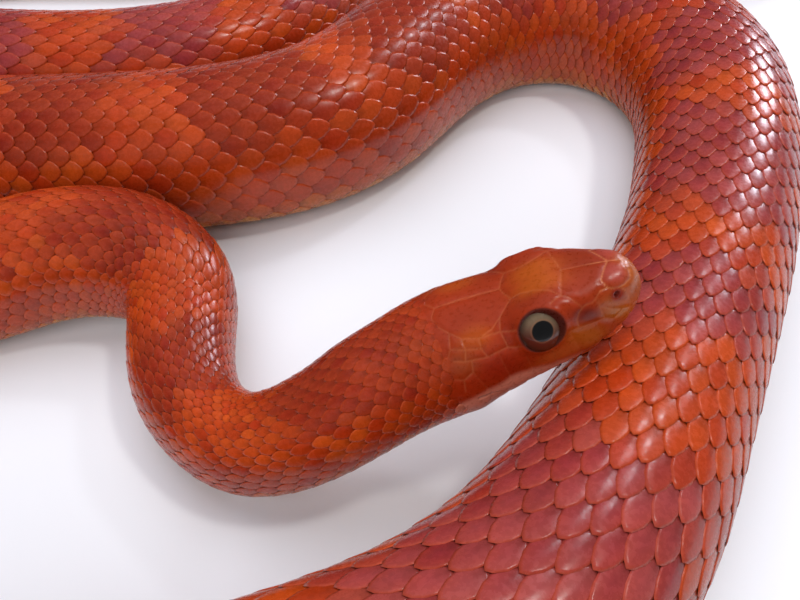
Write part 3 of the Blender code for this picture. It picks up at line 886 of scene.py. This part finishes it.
def row_angle(rows, position):
    """The angle from the top at a place among the rows, 0 over the backbone."""
    angles = np.linspace(0, math.pi, 721)
    across, height = outline(np.full(len(angles), ROWS_AT), angles)
    girth = np.concatenate([[0.0], np.cumsum(np.hypot(np.diff(across), np.diff(height)))])
    count = np.arange(rows + 1) - rows / 2
    least, growth, power = ROW_WIDTH
    width = least + growth * (np.abs(np.arange(rows) - (rows - 1) / 2) / (rows / 2)) ** power
    place = np.concatenate([[0.0], np.cumsum(width)])
    place = (place / place[-1] * 2 - 1) * np.interp(DORSAL_EDGE, angles, girth)
    way = np.interp(position, count, place)
    return np.sign(way) * np.interp(np.abs(way), girth, angles)


def store(mesh, label, values):
    """Gives the points of a mesh a number, a direction or a colour each."""
    values = np.asarray(values, np.float32)
    kind, key = {
        1: ("FLOAT", "value"), 3: ("FLOAT_VECTOR", "vector"), 4: ("FLOAT_COLOR", "color"),
    }[values.size // len(values)]
    mesh.attributes.new(label, kind, "POINT").data.foreach_set(key, values.ravel())


def plate_mesh(name, points, faces, edge, front):
    """One plate, with each point's own place in it, how near it is to the rim, and the painted shade at
    its root, where the scale in front lies over it.

    It isn't put into the scene. The node tree makes copies of it.
    """
    mesh = bpy.data.meshes.new(name)
    mesh.from_pydata(points.tolist(), [], faces)
    for label, values in (("Local", points), ("Edge", edge), ("Front", front)):
        store(mesh, label, values)
    return bpy.data.objects.new(name, mesh)


def scale_plate():
    """A scale in scale lengths along it and row widths across it."""
    turn = 2 * math.pi * np.arange(SCALE_CORNERS) / SCALE_CORNERS
    power = 2 / SCALE_ROUND
    along = np.sign(np.cos(turn)) * np.abs(np.cos(turn)) ** power
    along *= np.where(along > 0, SCALE_REACH[1], SCALE_REACH[0])
    across = np.sign(np.sin(turn)) * np.abs(np.sin(turn)) ** power * SCALE_HALF_WIDTH
    slope = (TIP_HEIGHT - FRONT_HEIGHT) / sum(SCALE_REACH)

    def ring(size, rise):
        tilt = FRONT_HEIGHT + slope * (along * size + SCALE_REACH[0])
        return np.stack([along * size, across * size, tilt + rise], 1)

    n = SCALE_CORNERS
    points = np.concatenate([
        ring(1.0, -SCALE_THICKNESS), ring(1.0, 0.0), ring(INNER_RING, SCALE_DOME * INNER_RING),
        ring(0.0, SCALE_DOME)[:1],
    ])
    faces = [tuple(range(n))[::-1]]
    for lower in (0, n):
        for k in range(n):
            nxt = (k + 1) % n
            faces.append((lower + k, lower + nxt, lower + n + nxt, lower + n + k))
    for k in range(n):
        faces.append((2 * n + k, 2 * n + (k + 1) % n, 3 * n))
    edge = np.concatenate([np.ones(2 * n), np.full(n, INNER_RIM), np.zeros(1)])
    edge *= np.where(points[:, 0] > 0.0, 1.0, INNER_RIM)
    # Painted shade in the middle of the root, where the tip of the scale in front lies over it
    front = np.clip(-points[:, 0] * 1.1 - 0.1, 0, 0.5) * bell(points[:, 1], 0.5)
    return plate_mesh("scale_plate", points, faces, edge, front)


def guide_mesh(name, centre, reach, sides):
    """A strip of the skin's surface with its place on the unrolled skin and its outward direction."""
    rows = np.arange(GUIDE_AT[0], GUIDE_AT[1] + GUIDE_STEP, GUIDE_STEP)
    turn = np.linspace(-reach, reach, sides)
    at, angle = [grid.ravel() for grid in np.meshgrid(rows, turn, indexing="ij")]
    inside = np.minimum(at, LENGTH)
    points = on_skin(inside, centre + angle) + (at - inside)[:, None] * along_spine(BACK, inside)
    outward = on_skin(inside, centre + angle, 1.0) - on_skin(inside, centre + angle)
    a = (np.arange(len(rows) - 1)[:, None] * sides + np.arange(sides - 1)).ravel()
    faces = np.stack([a, a + sides, a + sides + 1, a + 1], 1)
    mesh = bpy.data.meshes.new(name)
    mesh.from_pydata((points * MM).tolist(), [], faces.tolist())
    store(mesh, "Outward", outward)
    share = np.stack([(at - rows[0]) / (rows[-1] - rows[0]), (angle + reach) / (2 * reach)], -1)
    place = mesh.uv_layers.new(name="Unrolled")
    place.data.foreach_set("uv", share[faces.ravel()].astype(np.float32).ravel())
    return bpy.data.objects.new(name, mesh)


def plate_tree():
    """The node tree that lays plates on the skin.

    The points have their distance and angle as x and y. Long and Wide size the plates there in
    millimetres and radians, and the guide tells where that place of the unrolled skin lies in space.
    """
    tree = bpy.data.node_groups.new("plates_on_skin", "GeometryNodeTree")
    for label, kind in (
        ("Geometry", "Geometry"), ("Plate", "Object"), ("Guide", "Object"), ("Keratin", "Material"),
        ("Guide Start", "Float"), ("Guide Run", "Float"), ("Guide Reach", "Float"),
        ("Size Spread", "Float"), ("Tilt Spread", "Float"), ("Tone Spread", "Float"),
        ("Rim Strength", "Float"), ("Rim Colour", "Color"), ("Seed", "Int"),
    ):
        tree.interface.new_socket(label, in_out="INPUT", socket_type="NodeSocket" + kind)
    tree.interface.new_socket("Geometry", in_out="OUTPUT", socket_type="NodeSocketGeometry")
    given = add(tree, "NodeGroupInput").outputs
    own = {
        label: add(tree, "GeometryNodeInputNamedAttribute", {"data_type": kind}, Name=label)
        for kind, labels in (
            ("FLOAT", ("Long", "Wide", "Tone", "Tilt", "Front", "Edge")),
            ("FLOAT_VECTOR", ("Local", "Outward", "Unrolled", "Root")),
            ("FLOAT_COLOR", ("Marking",)),
        )
        for label in labels
    }

    # What differs from plate to plate: size, tone and tilt
    drawn = []
    for step, (label, middle) in enumerate(
        (("Size Spread", 1.0), ("Tone Spread", 1.0), ("Tilt Spread", 0.0))
    ):
        low = add(tree, "ShaderNodeMath", LESS, middle, given[label])
        high = add(tree, "ShaderNodeMath", PLUS, middle, given[label])
        seed = add(tree, "ShaderNodeMath", PLUS, given["Seed"], step)
        node = add(tree, "FunctionNodeRandomValue", {"data_type": "FLOAT"}, _2=low, _3=high, Seed=seed)
        drawn.append(node.outputs[1])
    size, tone, tilt = drawn

    # Copies of the plate at the points
    long = add(tree, "ShaderNodeMath", TIMES, own["Long"], size)
    wide = add(tree, "ShaderNodeMath", TIMES, own["Wide"], size)
    scale = add(tree, "ShaderNodeCombineXYZ", X=long, Y=wide, Z=long)
    plate = add(tree, "GeometryNodeObjectInfo", Object=given["Plate"]).outputs["Geometry"]
    points = given["Geometry"]
    plates = add(tree, "GeometryNodeInstanceOnPoints", Points=points, Instance=plate, Scale=scale)
    for label, value in (("Tone", tone), ("Tilt", tilt)):
        plates = add(
            tree, "GeometryNodeStoreNamedAttribute", {"data_type": "FLOAT", "domain": "INSTANCE"},
            Geometry=plates, Name=label, Value=value,
        )
    plates = add(tree, "GeometryNodeRealizeInstances", Geometry=plates)

    # Each point's height over the skin: its own, and what the tilt of its plate adds
    position = add(tree, "GeometryNodeInputPosition")
    flat = add(tree, "ShaderNodeSeparateXYZ", Vector=position).outputs
    along = add(tree, "ShaderNodeSeparateXYZ", Vector=own["Local"])
    from_root = add(tree, "ShaderNodeMath", PLUS, along, SCALE_REACH[0])
    tilted = add(tree, "ShaderNodeMath", TIMES, own["Tilt"], from_root)
    raised = add(tree, "ShaderNodeMath", TIMES, tilted, own["Long"])
    height = add(tree, "ShaderNodeMath", PLUS, flat["Z"], raised)
    height = add(tree, "ShaderNodeMath", TIMES, height, MM)

    # Its spot on the unrolled skin, and from the guide that spot's place in space
    onward = add(tree, "ShaderNodeMath", LESS, flat["X"], given["Guide Start"])
    run = add(tree, "ShaderNodeMath", OVER, onward, given["Guide Run"])
    reach = add(tree, "ShaderNodeMath", TIMES, given["Guide Reach"], 2.0)
    around = add(tree, "ShaderNodeMath", OVER, flat["Y"], reach)
    turn = add(tree, "ShaderNodeMath", PLUS, around, 0.5)
    spot = add(tree, "ShaderNodeCombineXYZ", X=run, Y=turn)
    guide = add(tree, "GeometryNodeObjectInfo", Object=given["Guide"]).outputs["Geometry"]
    surface, outward = [
        add(
            tree, "GeometryNodeSampleUVSurface", {"data_type": "FLOAT_VECTOR"}, Mesh=guide, Value=value,
            Source_UV_Map=own["Unrolled"], Sample_UV=spot,
        )
        for value in (position, own["Outward"])
    ]
    lift = add(tree, "ShaderNodeVectorMath", SCALED, outward, Scale=height)
    place = add(tree, "ShaderNodeVectorMath", PLUS, surface, lift)
    plates = add(tree, "GeometryNodeSetPosition", Geometry=plates, Position=place)

    # The marking of the whole plate, with painted shade at its root where the scale in front lies over
    # it, and with a rim of its own colour
    light = add(tree, "ShaderNodeMath", LESS, 1.0, own["Front"])
    shade = add(tree, "ShaderNodeMath", TIMES, own["Tone"], light)
    pigment = add(tree, "ShaderNodeVectorMath", SCALED, own["Marking"], Scale=shade)
    strength = add(tree, "ShaderNodeMath", TIMES, own["Edge"], given["Rim Strength"])
    painted = add(
        tree, "ShaderNodeMix", {"data_type": "RGBA"}, strength, _6=pigment, _7=given["Rim Colour"]
    ).outputs[2]
    patch = add(tree, "ShaderNodeVectorMath", TIMES, own["Local"], PLATE_PATCH)
    bake = add(tree, "ShaderNodeVectorMath", PLUS, own["Root"], patch)
    for label, kind, domain, value in (
        ("Marking", "FLOAT_COLOR", "POINT", painted), ("OFBake", "FLOAT2", "CORNER", bake),
    ):
        plates = add(
            tree, "GeometryNodeStoreNamedAttribute", {"data_type": kind, "domain": domain},
            Geometry=plates, Name=label, Value=value,
        )
    plates = add(tree, "GeometryNodeSetMaterial", Geometry=plates, Material=given["Keratin"])
    add(tree, "NodeGroupOutput", Geometry=plates)
    return tree


def lay_plates(name, tree, centre_at, angle, wide, colours, root, sizes):
    """A mesh of plates at their places, made by the tree with its inputs by name in sizes."""
    zero = np.zeros((len(centre_at), 1))
    mesh = bpy.data.meshes.new(name + "_places")
    mesh.from_pydata(np.column_stack([centre_at, angle, zero]).tolist(), [], [])
    for label, values in (
        ("Long", scale_length(centre_at)), ("Wide", wide), ("Root", np.hstack([root, zero])),
        ("Marking", np.hstack([colours, zero + 1])),
    ):
        store(mesh, label, values)
    thing = in_scene(name, mesh)
    modifier = thing.modifiers.new("plates", "NODES")
    modifier.node_group = tree
    inputs = {item.name: item.identifier for item in tree.interface.items_tree if item.in_out == "INPUT"}
    sizes = {"Guide Start": GUIDE_AT[0], "Guide Run": GUIDE_AT[1] - GUIDE_AT[0], **sizes}
    for label, value in sizes.items():
        modifier[inputs[label]] = value
    bpy.context.view_layer.update()
    made = thing.evaluated_get(bpy.context.evaluated_depsgraph_get())
    thing.data = bpy.data.meshes.new_from_object(made)
    thing.modifiers.clear()
    for label in ("Long", "Wide", "Root", "Local", "Edge", "Front", "Tone", "Tilt"):
        if label in thing.data.attributes:
            thing.data.attributes.remove(thing.data.attributes[label])
    thing.data.shade_smooth()
    return thing


def scale_places(rows, start, end, step=0.5):
    """Distances and rows of the scales of a zone. Neighbouring rows lie half a scale apart."""
    at = np.arange(start, end, step)
    phase = np.concatenate([[0.0], np.cumsum(step / scale_length(at[:-1] + step / 2))])
    at_list, row_list = [], []
    for row in range(rows):
        wanted = np.arange(0.25 + 0.5 * (row % 2), phase[-1] - 0.1, 1.0)
        at_list.append(np.interp(wanted, phase, at))
        row_list.append(np.full(len(wanted), row - (rows - 1) / 2))
    return np.concatenate(at_list), np.concatenate(row_list)


plates_on_skin = plate_tree()
plate = scale_plate()
SIDE_REACH = DORSAL_EDGE + math.radians(12)
guide = guide_mesh("upper_guide", 0.0, SIDE_REACH, 121)
scale_keratin = keratin("scale_keratin", 0.26, 0.6, 0.02)
# Some scales are more orange than their neighbours and others redder
pigment_draw = np.random.default_rng(7)
PIGMENT_SPREAD = np.array([0.06, 0.2, 0.16])
pieces = []
for rows, start, end, parts in COATS:
    at, row = scale_places(rows, start, end)
    angle = row_angle(rows, row)
    begins = np.interp(np.degrees(np.abs(angle)), *np.array(COAT_EDGE).T)
    for zone, stop in parts:
        kept = (at > begins) & (at >= start) & (at < min(stop, LENGTH - 2.0))
        pieces.append((zone, rows, at[kept], row[kept], angle[kept]))
        start = stop
for seed, (zone, rows, at, row, angle) in enumerate(pieces):
    wide = (row_angle(rows, row + ROW_REACH) - row_angle(rows, row - ROW_REACH)) / (2 * ROW_REACH)
    wide *= 1 - (1 - SLENDER_NECK) * ease(*SLENDER_START, at) * (1 - ease(*SLENDER_END, at))
    girth = np.abs(angle) / math.pi * THROAT_GIRTH
    share = (girth - MOUTH_GIRTH) / (THROAT_GIRTH - MOUTH_GIRTH)
    on_head = 1 - ease(*HEAD_PAINT_FROM_TO, at)
    colours = blend(body_markings(at, angle), head_markings(at, girth, share), on_head)
    draw = pigment_draw.standard_normal((len(at), 1)).clip(-2, 2)
    colours *= 1 + PIGMENT_SPREAD * draw
    root = unwrap(at, angle / (2 * math.pi) + 0.5)
    coat = lay_plates(
        "scales_" + zone, plates_on_skin, at, angle, wide, colours, root,
        {
            "Plate": plate, "Guide": guide, "Keratin": scale_keratin, "Guide Reach": SIDE_REACH,
            "Size Spread": 0.04, "Tilt Spread": 0.006, "Tone Spread": 0.08,
            "Rim Strength": RIM_STRENGTH, "Rim Colour": (*RIM_COLOUR, 1.0), "Seed": 10 + seed,
        },
    )
    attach(coat, "root")

# The scutes of the belly: one broad plate of keratin under each step of the scale rows, from flank
# to flank, each lying over the front of the next one. The same tree lays them on the skin.
SCUTE_START = 22.0
SCUTE_STATIONS = 11
# Rows of (distance from the middle of the scute, height), in scale lengths from front to rear
SCUTE_PROFILE = [(-0.42, -0.05), (0.1, -0.027), (0.62, -0.004)]
# The rear edge curves forward towards both flanks by this much
SCUTE_SWEEP = 0.12
SCUTE_HALF = math.pi - DORSAL_EDGE + math.radians(5)
LOWER_REACH = SCUTE_HALF + math.radians(6)


def scute_plate():
    """A scute in scale lengths along it and half widths across it."""
    points = []
    for below in (SCALE_THICKNESS, 0.0):
        for along, height in SCUTE_PROFILE:
            for place in np.linspace(-1, 1, SCUTE_STATIONS):
                curve = SCUTE_SWEEP * place**2 if along > 0 else 0.0
                points.append((along - curve, place, height - below))
    n = SCUTE_STATIONS
    faces = []
    for row in range(2):
        for k in range(n - 1):
            a = row * n + k
            faces.append((a, a + n, a + n + 1, a + 1))
            b = a + 3 * n
            faces.append((b, b + 1, b + n + 1, b + n))
    for k in range(n - 1):
        faces.append((k, k + 1, 3 * n + k + 1, 3 * n + k))
        faces.append((2 * n + k + 1, 2 * n + k, 5 * n + k, 5 * n + k + 1))
    for row in range(2):
        for k, flip in ((0, -1), (n - 1, 1)):
            side = (row * n + k, (row + 1) * n + k, (row + 4) * n + k, (row + 3) * n + k)
            faces.append(side[::flip])
    points = np.array(points)
    zero = np.zeros(len(points))
    return plate_mesh("scute_plate", points, faces, zero, zero)


places = []
for _, start, end, _ in COATS:
    at, _ = scale_places(1, start, end)
    places.append(at + 0.25 * scale_length(at))
at = np.concatenate(places)
at = at[(at > SCUTE_START) & (at < LENGTH - 3)]
colours = blend(body_markings(at, np.full(len(at), math.pi)), THROAT, 1 - ease(23.0, 36.0, at))
scutes = lay_plates(
    "belly_scutes", plates_on_skin, at, np.zeros(len(at)), np.full(len(at), SCUTE_HALF), colours,
    unwrap(at, np.full(len(at), 0.02)),
    {
        "Plate": scute_plate(), "Guide": guide_mesh("lower_guide", math.pi, LOWER_REACH, 61),
        "Keratin": keratin("belly_scute_keratin", 0.3, 0.9, 0.03), "Guide Reach": LOWER_REACH,
        "Tone Spread": 0.06, "Seed": 31,
    },
)
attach(scutes, "root")

# The eyes. A snake has no lids: each eye lies under a clear fixed cap, wet and glossy. Behind it is a
# round black pupil in a brown iris that is paler above, partly with a painted reflection of the light
# over it, and darkens to a black ring of painted shadow at its rim, where it meets its socket.
EYE_FLATNESS = 0.55
PUPIL = 1.14
IRIS_RIM = 2.28
EYE_RINGS = 96
EYE_SIDES = 64
IRIS_BELOW = linear("#4E1C0E")
IRIS_ABOVE = linear("#6E5A44")


def make_eye(name, side):
    centre, out = eye_place(side)
    across = np.cross(out, [0.0, 0.0, 1.0])
    across /= np.linalg.norm(across)
    upward = np.cross(across, out)
    upward *= np.sign(upward[2])
    # The rings lie closer together over the pupil than behind the eye
    tilt = np.pi * (np.arange(1, EYE_RINGS) / EYE_RINGS) ** 1.25
    turn = 2 * math.pi * np.arange(EYE_SIDES) / EYE_SIDES
    rim = np.cos(turn)[:, None] * across + np.sin(turn)[:, None] * upward
    points = [centre + out * EYE_RADIUS]
    for t in tilt:
        flatness = EYE_FLATNESS if t < math.pi / 2 else 1.0
        height = math.copysign(abs(math.cos(t)) ** flatness, math.cos(t))
        points += list(centre + EYE_RADIUS * (height * out + math.sin(t) * rim))
    points.append(centre - out * EYE_RADIUS)
    points = np.array(points)
    faces = [(0, 1 + k, 1 + (k + 1) % EYE_SIDES) for k in range(EYE_SIDES)]
    for ring in range(len(tilt) - 1):
        first = 1 + ring * EYE_SIDES
        ring_faces(first, EYE_SIDES, first + EYE_SIDES, EYE_SIDES, faces.append)
    last = 1 + (len(tilt) - 1) * EYE_SIDES
    faces += [(last + (k + 1) % EYE_SIDES, last + k, len(points) - 1) for k in range(EYE_SIDES)]

    # The iris by how far aside of the eye's axis it lies, with fine rays in it
    away = points - centre
    upright = away @ out
    aside = np.linalg.norm(away - upright[:, None] * out, axis=1)
    aside = np.where(upright > 0, aside, EYE_RADIUS)
    turned = np.arctan2(away @ upward, away @ across)
    fibres = 0.06 * np.sin(turned * 23 + 3 * np.sin(turned * 5)) * ease(PUPIL, 1.6, aside)
    # The iris is paler above, partly its own colour and partly a painted reflection of the light over it
    iris = blend(IRIS_BELOW, IRIS_ABOVE, ease(-0.35, 0.6, away @ upward / EYE_RADIUS))
    iris = iris * (1 + fibres[:, None])
    # The thin pale edge of the pupil, the dark outer iris, the black ring of painted shadow where the
    # eyeball meets its socket, and the pupil
    for code, amount in (
        ("#8A5C40", 0.4 * bell(aside - PUPIL - 0.08, 0.07)),
        ("#2C1A10", 0.85 * ease(1.5, IRIS_RIM, aside)),
        ("#120A08", ease(IRIS_RIM - 0.16, IRIS_RIM + 0.04, aside)),
        ("#050404", 1 - ease(PUPIL - 0.06, PUPIL + 0.02, aside)),
    ):
        iris = blend(iris, linear(code), amount)
    return make_mesh(name, points, faces, iris)


def spectacle():
    """The clear cap over the eye: no grain, a wet polish and a strong clear coat."""
    material, tree = new_material("spectacle_over_iris")
    marking = add(tree, "ShaderNodeAttribute", {"attribute_name": "Marking"})
    shader = add(
        tree, "ShaderNodeBsdfPrincipled", Base_Color=marking, Roughness=0.3, IOR=1.38,
        Coat_Weight=1.0, Coat_Roughness=0.04, Coat_IOR=1.42,
    )
    add(tree, "ShaderNodeOutputMaterial", Surface=shader)
    return material


wet = spectacle()
for side_name, side in (("right", 1), ("left", -1)):
    eye = make_eye("eyeball_" + side_name, side)
    eye.data.materials.append(wet)
    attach(eye, "root")
    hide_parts("eye_" + side_name)

# The floor: one flat sheet of pale board, wide enough to fill the camera's view. Its face is matt, so
# that it shows the animal's soft shadow and no clear reflection.
FLOOR_HALF = 1.5
corners = [(x * FLOOR_HALF, y * FLOOR_HALF, 0.0) for x, y in ((-1, -1), (1, -1), (1, 1), (-1, 1))]
board = bpy.data.meshes.new("floor")
board.from_pydata(corners, [], [(0, 1, 2, 3)])
matt_pale, tree = new_material("matt_pale_floor")
shader = add(tree, "ShaderNodeBsdfPrincipled", Base_Color=(*linear("#E6E8EC"), 1), Roughness=0.6)
add(tree, "ShaderNodeOutputMaterial", Surface=shader)
board.materials.append(matt_pale)
in_scene("floor", board)

# The light: two broad lamps, over the animal and at its front left, that the gloss doesn't mirror, and
# three small ones on its right, from low behind it to high beside it, that give the scales and the
# eyes their glints. An even, dim surround fills the shadows.
AIM = Vector((0.03, -0.03, 0.01))
# Name, place, width, power, colour, and whether the gloss mirrors it
LAMPS = [
    ("window", (0.62, 0.60, 0.28), 0.18, 2.3, "#EEF2FF", True),
    ("skylight", (0.39, 0.36, 0.56), 0.08, 0.75, "#F4F6FF", True),
    ("bulb", (0.35, -0.05, 0.71), 0.10, 1.2, "#FFFDF8", True),
    ("ceiling", (-0.10, 0.35, 1.10), 1.4, 11.0, "#F8F8FF", False),
    ("fill", (-0.25, -0.80, 0.70), 1.0, 7.0, "#FBFCFF", False),
]
for name, place, size, power, code, mirrored in LAMPS:
    lamp = bpy.data.lights.new(name, "AREA")
    lamp.shape = "DISK"
    lamp.size = size
    lamp.energy = power
    lamp.color = linear(code)
    thing = in_scene(name, lamp)
    thing.location = place
    thing.visible_glossy = mirrored
    thing.rotation_euler = (AIM - Vector(place)).to_track_quat("-Z", "Y").to_euler()
surround = bpy.data.worlds.new("pale_surround")
surround.use_nodes = True
background = surround.node_tree.nodes["Background"].inputs
background["Color"].default_value = (*linear("#E9ECF2"), 1)
background["Strength"].default_value = 0.18
bpy.context.scene.world = surround
bpy.context.scene.view_settings.view_transform = "Standard"

# The camera stands at the front of the pose, 93 mm over the floor, and looks down by 48 degrees at the
# head and the coils behind it. Its lens takes in as much as the photo shows.
view = bpy.data.cameras.new("camera")
view.lens = 38.25
view.sensor_width = 36.0
view.clip_start = 0.01
camera = in_scene("camera", view)
camera.location = (0.0325, -0.1063, 0.0933)
camera.rotation_euler = (math.radians(42), 0.0, 0.0)
bpy.context.scene.camera = camera
